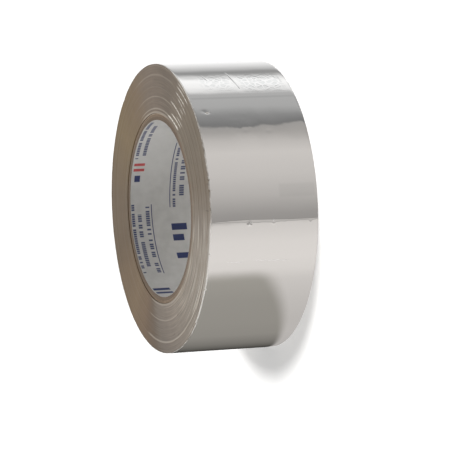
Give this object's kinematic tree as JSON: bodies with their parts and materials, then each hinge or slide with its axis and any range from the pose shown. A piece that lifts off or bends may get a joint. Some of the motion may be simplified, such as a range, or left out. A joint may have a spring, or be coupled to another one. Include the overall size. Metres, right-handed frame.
{
  "type": "roll of aluminium foil tape",
  "caption": "Full roll of wide foil tape wound on a paperboard core with a white paper lining, standing on one end face.",
  "frame": {"origin": "on the roll's axis, in the plane of the end face that it stands on", "axes": "+Z along the roll's axis, away from the surface it stands on; the strip's cut end is near -Y"},
  "size_m": [0.1249, 0.1248, 0.0486],
  "materials": {
    "core_board": "matte",
    "core_paper": "matte",
    "foil_tape": "bright"
  },
  "bodies": {
    "root": {"core": "core_board", "core_liner": "core_paper", "tape_roll": "foil_tape"}
  },
  "joints": []
}
